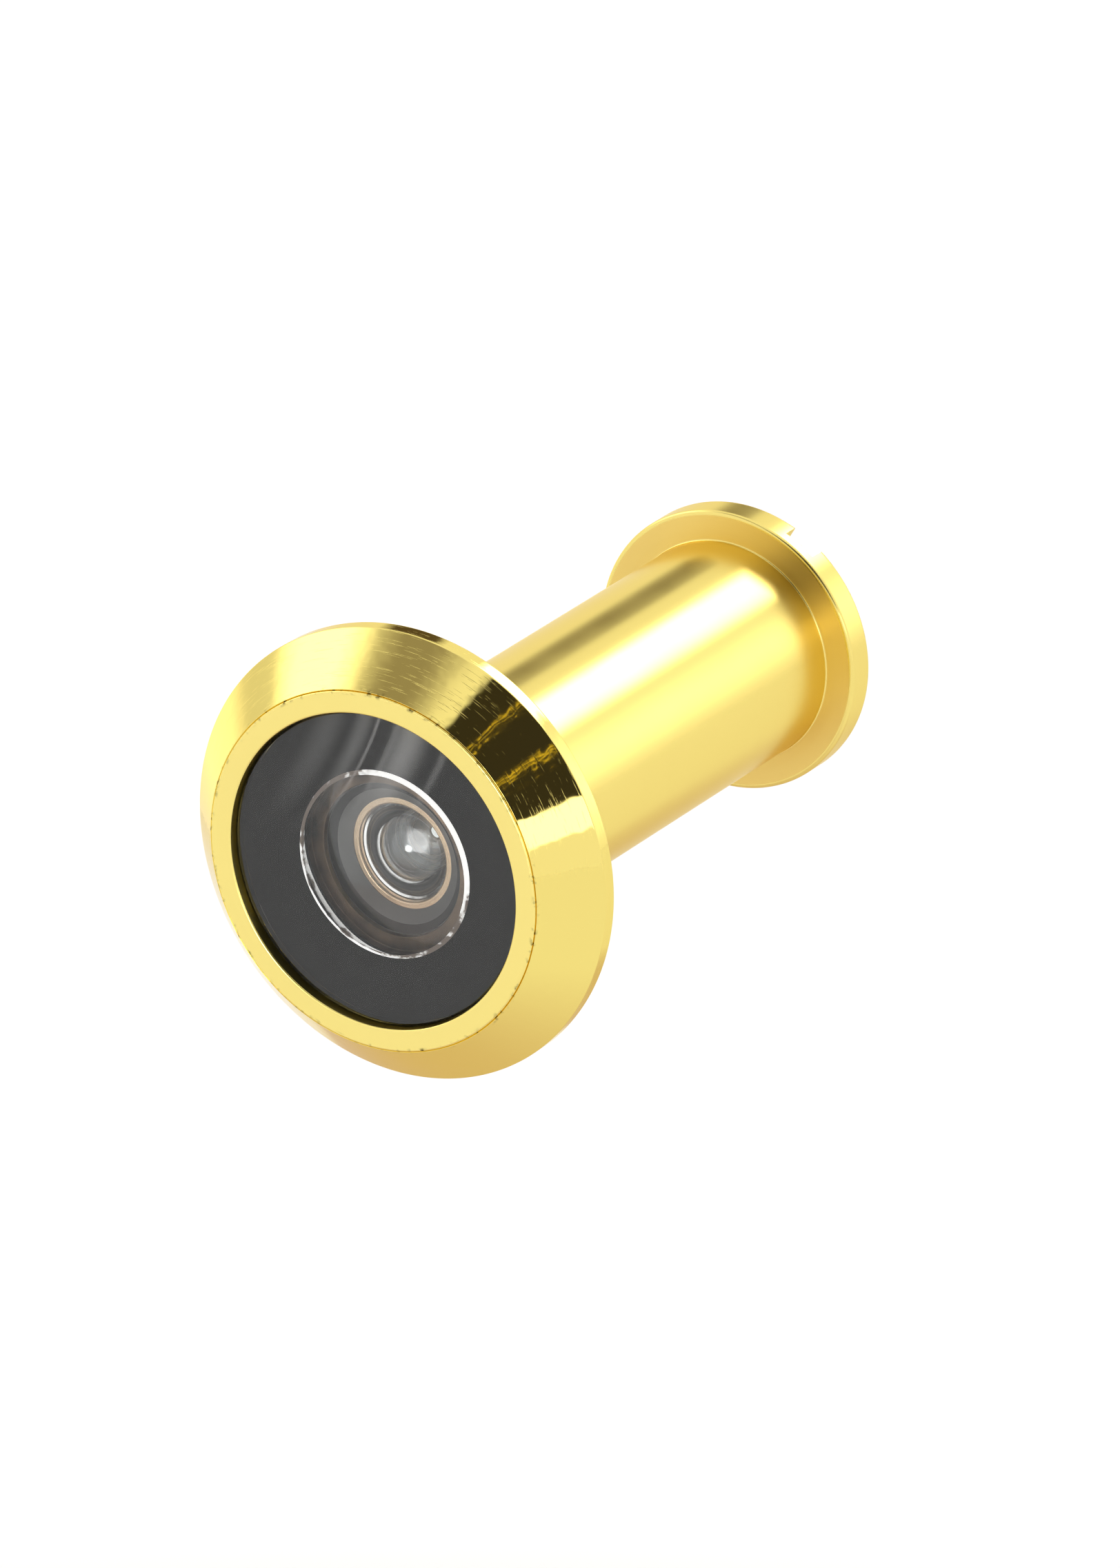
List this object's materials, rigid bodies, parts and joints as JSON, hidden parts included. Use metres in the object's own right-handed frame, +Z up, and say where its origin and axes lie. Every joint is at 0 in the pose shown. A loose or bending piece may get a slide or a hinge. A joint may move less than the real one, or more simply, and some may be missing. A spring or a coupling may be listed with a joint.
{
  "type": "door viewer",
  "caption": "Wide-angle door viewer: bevelled front rose with a large flat lens, a smooth tube, and a slotted room-side flange that screws in and out to suit the door.",
  "frame": {"origin": "on the optical axis, in the plane where the front rose sits on the door's outdoor face", "axes": "+Y along the optical axis from the outdoor side to the room side; +Z up; +X to the right as seen from outdoors"},
  "size_m": [0.028, 0.0422, 0.028],
  "materials": {
    "polished_brass": "mirror polished and lacquered",
    "satin_brass": "fine turned, satin, lacquered",
    "turned_brass": "as turned, unlacquered",
    "lens_glass": "polished optical glass",
    "black_ring": "black acetal, turned",
    "seal_rubber": "matt",
    "fibre_washer": "matt vulcanised fibre"
  },
  "bodies": {
    "front_half": {"front_barrel": "satin_brass", "bevel_rose": "polished_brass", "objective_lens": "lens_glass", "mask_ring": "black_ring", "lens_seal": "seal_rubber", "baffle_cone": "black_ring", "lens_cell": "turned_brass", "second_lens": "lens_glass", "cell_spacer": "black_ring", "third_lens": "lens_glass", "cell_lock_ring": "turned_brass", "barrel_lock_ring": "turned_brass"},
    "eyepiece_carriage": {"eyepiece_lens": "lens_glass", "eyepiece_washer": "fibre_washer"},
    "sleeve": {"rear_sleeve": "satin_brass", "eyepiece_lock_ring": "turned_brass"}
  },
  "joints": [
    {"name": "sleeve_travel", "type": "slide", "parent": "front_half", "child": "eyepiece_carriage", "axis": [0, 1, 0], "range_m": [0, 0.024]},
    {"name": "sleeve_turn", "type": "hinge", "parent": "eyepiece_carriage", "child": "sleeve", "pos_m": [0, 0.03, 0], "axis": [0, 1, 0], "range_deg": [0, 8640]}
  ],
  "couplings": [
    {"joint": "sleeve_travel", "follows": "sleeve_turn", "m_per_rad": 0.00015915}
  ]
}
